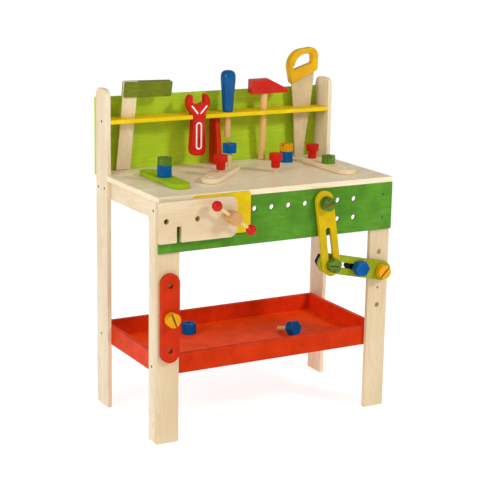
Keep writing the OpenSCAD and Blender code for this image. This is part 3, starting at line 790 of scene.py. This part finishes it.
def makeKnob():
    # turned knob with a cross hole for the bar, and the screw behind it
    low, high, centre = boxOf("vise_spindle")
    k = knob
    front = k["length"]
    outline = roundedProfile([
        (0.0, 0.0, 0), (k["neck"], 0.0, k["neckRound"]), (k["radius"], k["belly"], k["bellyRound"]),
        (k["radius"], front - k["belly"], k["bellyRound"]), (k["face"], front, k["round"]),
        (0.0, front, 0)], 8)
    piece = lathe("vise_knob", outline, 96)
    barHeight = low.y + front - boxOf("vise_bar")[2].y
    bpy.ops.object.select_all(action="DESELECT")
    bpy.ops.mesh.primitive_cylinder_add(vertices=40, radius=viseBar["radius"] + k["holeRoom"],
                                        depth=4 * k["radius"], location=(0, 0, barHeight),
                                        rotation=(0, math.pi / 2, 0))
    hole = bpy.context.active_object
    settle(hole)
    cutWith(piece, turned(hole, turnAbout("Z", -viseBar["tilt"])))
    roundEdges(piece, k["holeEdge"], steps=2, angle=40)
    turned(piece, Matrix.Translation((centre.x, low.y + front, centre.z)) @ facing["front"])
    wood = bareWood(**k["wood"])
    finishNode(piece, wood, "vise_spindle")

    screw = dowel("vise_screw", boltValues["shankRadius"], low.y + front, high.y, k["screwTip"])
    turned(screw, Matrix.Translation((centre.x, 0, centre.z)) @ turnAbout("X", -90))
    finishPiece(screw, wood, "vise_screw", "knob_wood")


def makeBalls():
    # two balls, each with a seat that the bar's end goes into
    low, high, centre = boxOf("vise_bar_balls")
    r, steps = ball["radius"], ball["arcSteps"]
    seat = math.asin(ball["seat"] / r)
    angles = [seat + (math.pi - seat) * i / steps for i in range(steps)]
    arc = [(r * math.sin(a), -r * math.cos(a)) for a in angles]      # from the bar's seat round to the pole
    socket = [(0.0, -r * ball["socket"]), (ball["seat"], -r * ball["socket"])]
    model = lathe("ballModel", socket + arc + [(0.0, r)], 48)
    barPlace = boxOf("vise_bar")[2]
    balls = []
    for side, place in ((1, Vector((high.x - r, barPlace.y, low.z + r))),
                        (-1, Vector((low.x + r, barPlace.y, high.z - r)))):
        away = turnAbout("Y", viseBar["tilt"] + 90 * side)
        balls.append(copyPiece(model, "ball%d" % (side + 1), Matrix.Translation(place) @ away))
    dropModels(model)
    finishNode(joinPieces(balls, "vise_balls"), paintedWood(**ball["paint"]), "vise_bar_balls")


def makeVise():
    carve("vise_front_jaw", jaw)
    carve("vise_guide_pins", guidePins)
    makeKnob()
    carve("vise_bar", viseBar["stick"])
    makeBalls()
    print("vise made")


trySquare = {
    "try_square_blade": dict(name="square_blade", edge=0.0009, wood=dict(
        name="squareWood", turn=(0.0, 88.8, 0.0), shift=(3.3, 1.9, 0.8),
        pale=(240, 222, 186), dark=(224, 196, 150))),
    "try_square_stock": dict(name="square_stock", edge=0.0012, paint=dict(
        name="stockPaint", colour=(114, 125, 30), turn=(0.0, -1.2, 0.0), shift=(0.6, 0.3, 0.2),
        deep=0.68, grainShare=0.55, shine=0.34)),
}


def makeTrySquare():
    for node, look in trySquare.items():
        carve(node, look)
    print("try square made")


wrench = dict(name="wrench_body", edge=0.0016, steps=4, angle=28, paint=dict(
    name="wrenchPaint", colour=(204, 26, 12), turn=alongZ, shift=(0.2, 0.9, 0.4), deep=0.80,
    grainShare=0.25, shine=0.20, coat=0.2, gloss=0.04, polish=0.06, wearAmount=0.15))
wrenchMarks = {
    # from and to are in millimetres, right of and above the lowest point of the middle line
    "lines": [((-16.8, 109.5), (-3.4, 93.8)), ((18.4, 108.2), (4.6, 93.4))],
    "lineWidth": 0.0034,
    "loop": ((0.0, 21.0), (0.0, 66.5)),
    "loopRadius": 0.0058,
    "loopWidth": 0.0034,
    "colour": (246, 240, 232),
}


def makeWrench():
    low, high, centre = boxOf("wrench")
    base = Vector((centre.x, 0.0, low.z))
    tree = carve("wrench", wrench).data.materials[0].node_tree
    shader = tree.nodes["Principled BSDF"]
    place = addNode(tree, "TexCoord").outputs["Object"]
    m = wrenchMarks

    def line(ends, distance, width):
        first, last = (tuple(base + Vector((x, 0.0, z)) / 1000) for x, z in ends)
        return addGroup(tree, paintedLine, {"Vector": place, "From": first, "To": last,
                                            "Distance": distance, "Width": width}).outputs[0]

    mask = line(m["loop"], m["loopRadius"], m["loopWidth"])
    for ends in m["lines"]:
        mask = addMath(tree, "MAXIMUM", mask, line(ends, 0.0, m["lineWidth"]))
    normal = addNode(tree, "NewGeometry").outputs["True Normal"]
    forward = addMath(tree, "MULTIPLY", addNode(tree, "SeparateXYZ", {0: normal}).outputs["Y"], -1.0)
    mask = addMath(tree, "MULTIPLY", mask, addRange(tree, forward, 0.5, 0.8, 0.0, 1.0))      # front only
    under = shader.inputs["Base Color"].links[0].from_socket
    tree.links.new(mixColour(tree, mask, under, srgb(*m["colour"])), shader.inputs["Base Color"])
    print("wrench made")


screwdriver = {
    "outline": [
        # radius and height above the rail, in millimetres, and rounding
        (0.0, 0.0, 0), (11.6, 0.0, 2.0), (12.2, 6.0, 6.0), (14.4, 44.0, 20.0), (16.3, 62.0, 12.0),
        (17.0, 73.0, 8.0), (16.6, 81.0, 6.0), (14.2, 87.5, 5.0), (8.6, 91.2, 4.0), (0.0, 92.0, 0)],
    "paint": dict(name="driverPaint", colour=(0, 84, 144), turn=alongZ, shift=(0.7, 0.1, 0.5), deep=0.80,
                  grainShare=0.15, shine=0.14, gloss=0.02, coat=0.34, polish=0.05, wearAmount=0.1),
    "tip": 0.0016,
    "wood": dict(name="driverWood", turn=alongZ, shift=(0.4, 1.5, 0.2), ringSize=0.5,
                 pale=(232, 188, 124), dark=(212, 160, 94)),
}


def makeScrewdriver():
    low, high, centre = boxOf("screwdriver_handle")
    d = screwdriver
    outline = roundedProfile([[value / 1000 for value in point] for point in d["outline"]], 6)
    handle = turned(lathe("driver_handle", outline, 96), Matrix.Translation((centre.x, centre.y, low.z)))
    finishNode(handle, paintedWood(**d["paint"]), "screwdriver_handle")
    low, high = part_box("screwdriver_shaft")
    shaft = dowel("driver_shaft", (high.x - low.x) / 2, low.z, high.z, d["tip"])
    turned(shaft, Matrix.Translation((centre.x, centre.y, 0)))
    finishNode(shaft, bareWood(**d["wood"]), "screwdriver_shaft")
    print("screwdriver made")


hammer = {
    "hammer_head": dict(name="hammer_block", edge=0.0016, steps=4, angle=30, paint=dict(
        name="hammerPaint", colour=(205, 34, 14), turn=alongX, shift=(0.2, 0.6, 0.9), deep=0.80,
        grainShare=0.3, shine=0.24, coat=0.12, wearAmount=0.2)),
    "hammer_handle": dict(name="hammer_stick", edge=0.0012, wood=dict(
        name="hammerWood", turn=(0.0, 92.0, 0.0), shift=(0.9, 1.4, 0.3), ringSize=0.6,
        pale=(236, 190, 116), dark=(216, 162, 86))),
}


def makeHammer():
    for node, look in hammer.items():
        carve(node, look)
    print("hammer made")


saw = {
    "saw_handle": dict(name="saw_grip", edge=0.0032, steps=5, paint=dict(
        name="sawPaint", colour=(222, 168, 10), turn=alongX, shift=(0.5, 0.5, 0.2), deep=0.80,
        grainShare=0.3, shine=0.26, coat=0.12, wearAmount=0.15)),
    "saw_blade": dict(name="saw_blade_board", edge=0.0006, steps=2, angle=20, paint=dict(
        name="bladePaint", colour=(208, 186, 144), turn=alongZ, shift=(0.8, 0.3, 0.9), deep=0.86,
        grainShare=0.4, shine=0.42, wearAmount=0.3)),
}


def makeSaw():
    for node, look in saw.items():
        carve(node, look)
    print("saw made")


strips = {
    "edge": 0.0014,
    "paint": dict(deep=0.84, grainShare=0.35, shine=0.32),
    "wood": dict(pale=(247, 228, 188), dark=(231, 202, 156)),
    "pieces": {
        # node: paint colour or None for bare wood, turn of the grain
        "strip_yellow_slotted": ((206, 174, 6), (0.0, -81.1, 0.0)),
        "strip_lime_slotted": ((150, 162, 24), (0.0, -167.3, 0.0)),
        "strip_red_leg": ((200, 46, 6), alongZ),
        "strip_lime_top": ((156, 186, 24), alongY),
        "strip_natural_middle": (None, (0.0, 0.0, -46.0)),
        "strip_natural_right": (None, alongY),
    },
}


def makeStrips():
    for number, (node, (colour, turn)) in enumerate(strips["pieces"].items()):
        look = dict(name=node + "_board", edge=strips["edge"])
        place = dict(turn=turn, shift=(0.7 * number, 0.4 * number, 0.9))
        if colour:
            look["paint"] = dict(name=node + "_paint", colour=colour, **place, **strips["paint"])
        else:
            look["wood"] = dict(name=node + "_wood", **place, **strips["wood"])
        carve(node, look)
    print("strips made")


studio = {
    "lens": 107.71,                       # on a 36 mm sensor
    "place": (-1.48714, -2.63622, 1.10026),
    "yaw": 29.08, "pitch": -13.41, "roll": 0.96,
    "aim": (0.0, 0.0, 0.42),              # where the lamps point
    "key": {"place": (1.6, -2.4, 2.15), "size": 0.6, "power": 44.0},
    "fill": {"place": (-2.6, -1.0, 1.5), "size": 1.5, "power": 34.0},
    "sky": 0.44,                          # what lights the bench
    "skySeen": 1.0,                       # what shows behind the floor
    "floorSize": 60.0,
    "floorTones": ((176, 176, 176), (182, 182, 182)),
    "floorGlow": 0.80,
}
white = (1.0, 1.0, 1.0, 1.0)


def layFloor():
    bpy.ops.object.select_all(action="DESELECT")
    bpy.ops.mesh.primitive_plane_add(size=studio["floorSize"], location=(0, 0, 0))
    floor = bpy.context.active_object
    floor.name = "studio_floor"
    pale, tree, shader, place, vector = startMaterial("floorPaint", alongX, (0, 0, 0))
    dust = addNode(tree, "TexNoise", {"Vector": place, "Scale": 3.0, "Detail": 4.0}).outputs["Fac"]
    low, high = (srgb(*tone) for tone in studio["floorTones"])
    fill(tree, shader, {"Base Color": mixColour(tree, dust, low, high), "Roughness": 0.9,
                        "Specular IOR Level": 0.1, "Emission Color": white,
                        "Emission Strength": studio["floorGlow"]})
    floor.data.materials.append(pale)


def lightStudio():
    world = bpy.data.worlds.new("studioSky")
    bpy.context.scene.world = world
    world.use_nodes = True
    tree = world.node_tree
    seen = addNode(tree, "LightPath").outputs["Is Camera Ray"]
    strength = addRange(tree, seen, 0.0, 1.0, studio["sky"], studio["skySeen"])
    fill(tree, tree.nodes["Background"], {"Color": white, "Strength": strength})
    for name in ("key", "fill"):
        light = bpy.data.lights.new(name, "AREA")
        light.size = studio[name]["size"]
        light.energy = studio[name]["power"]
        lamp = bpy.data.objects.new(name, light)
        lamp.location = studio[name]["place"]
        bpy.context.scene.collection.objects.link(lamp)
        way = Vector(studio["aim"]) - lamp.location
        lamp.rotation_euler = way.to_track_quat("-Z", "Y").to_euler()


def placeCamera():
    camera = bpy.data.objects.new("camera", bpy.data.cameras.new("camera"))
    camera.data.sensor_width = 36.0
    camera.data.lens = studio["lens"]
    camera.data.clip_end = 200.0
    yaw, pitch, roll = (math.radians(studio[k]) for k in ("yaw", "pitch", "roll"))
    forward = Vector((math.sin(yaw) * math.cos(pitch), math.cos(yaw) * math.cos(pitch), math.sin(pitch)))
    right = Vector((math.cos(yaw), -math.sin(yaw), 0))
    up = right.cross(forward)
    tiltedRight = right * math.cos(roll) + up * math.sin(roll)
    tiltedUp = up * math.cos(roll) - right * math.sin(roll)
    matrix = Matrix((tiltedRight, tiltedUp, -forward)).transposed().to_4x4()
    matrix.translation = studio["place"]
    camera.matrix_world = matrix
    bpy.context.scene.collection.objects.link(camera)
    bpy.context.scene.camera = camera
    bpy.context.scene.view_settings.view_transform = "Standard"


def setUpStudio():
    layFloor()
    lightStudio()
    placeCamera()
    print("studio set up")


setUpStudio()
makeBoards()
makeWorktop()
makePaintedBoards()
makeScrews()
makeBolts()
makeNuts()
makePegs()
makeVise()
makeTrySquare()
makeWrench()
makeScrewdriver()
makeHammer()
makeSaw()
makeStrips()
